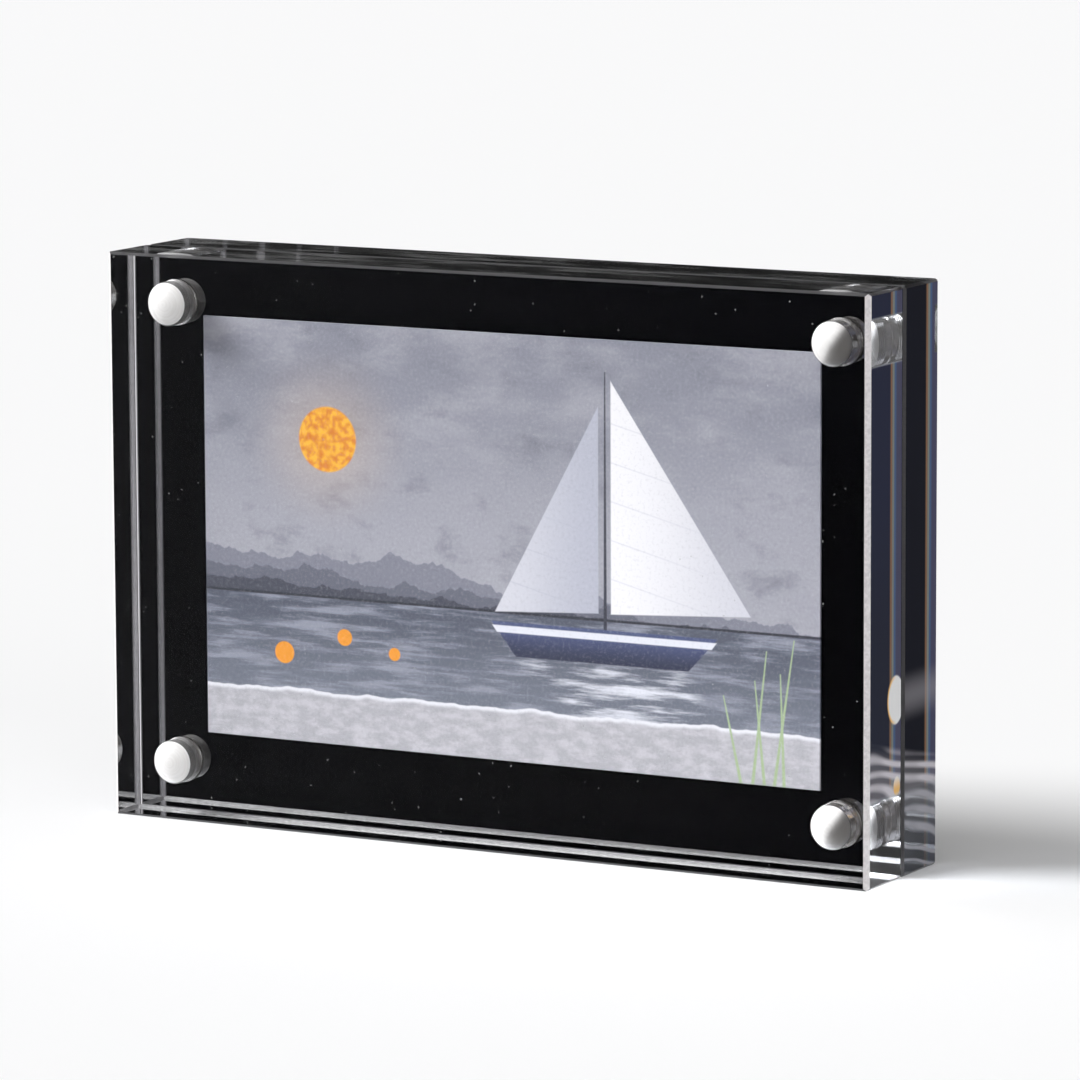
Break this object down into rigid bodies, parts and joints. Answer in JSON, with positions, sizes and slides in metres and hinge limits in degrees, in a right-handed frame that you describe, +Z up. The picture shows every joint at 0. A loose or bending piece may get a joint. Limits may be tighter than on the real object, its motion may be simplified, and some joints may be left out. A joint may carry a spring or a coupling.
{
  "type": "picture frame",
  "caption": "Free-standing clear block picture frame: two thick bevelled transparent plates held together by corner magnets over a small landscape card, with a black back.",
  "frame": {"origin": "on the surface that the block stands on, under the middle of its whole depth and width", "axes": "+X to the right along the long edge as seen from the front, the front faces -Y, +Z up"},
  "size_m": [0.08, 0.0144, 0.054],
  "materials": {
    "acrylic": "polished",
    "magnet": "satin",
    "card": "satin",
    "backing": "satin"
  },
  "bodies": {
    "rear": {"rear_plate": "acrylic", "black_backing": "backing", "rear_magnet_top_left": "magnet", "rear_magnet_top_right": "magnet", "rear_magnet_bottom_left": "magnet", "rear_magnet_bottom_right": "magnet"},
    "front": {"front_plate": "acrylic", "front_magnet_top_left": "magnet", "front_magnet_top_right": "magnet", "front_magnet_bottom_left": "magnet", "front_magnet_bottom_right": "magnet"},
    "card": {"picture_card": "card"}
  },
  "joints": [
    {"name": "front_pull", "type": "slide", "parent": "rear", "child": "front", "axis": [0, -1, 0], "range_m": [0, 0.04]},
    {"name": "card_lift", "type": "slide", "parent": "rear", "child": "card", "axis": [0, 0, 1], "range_m": [0, 0.047]}
  ]
}
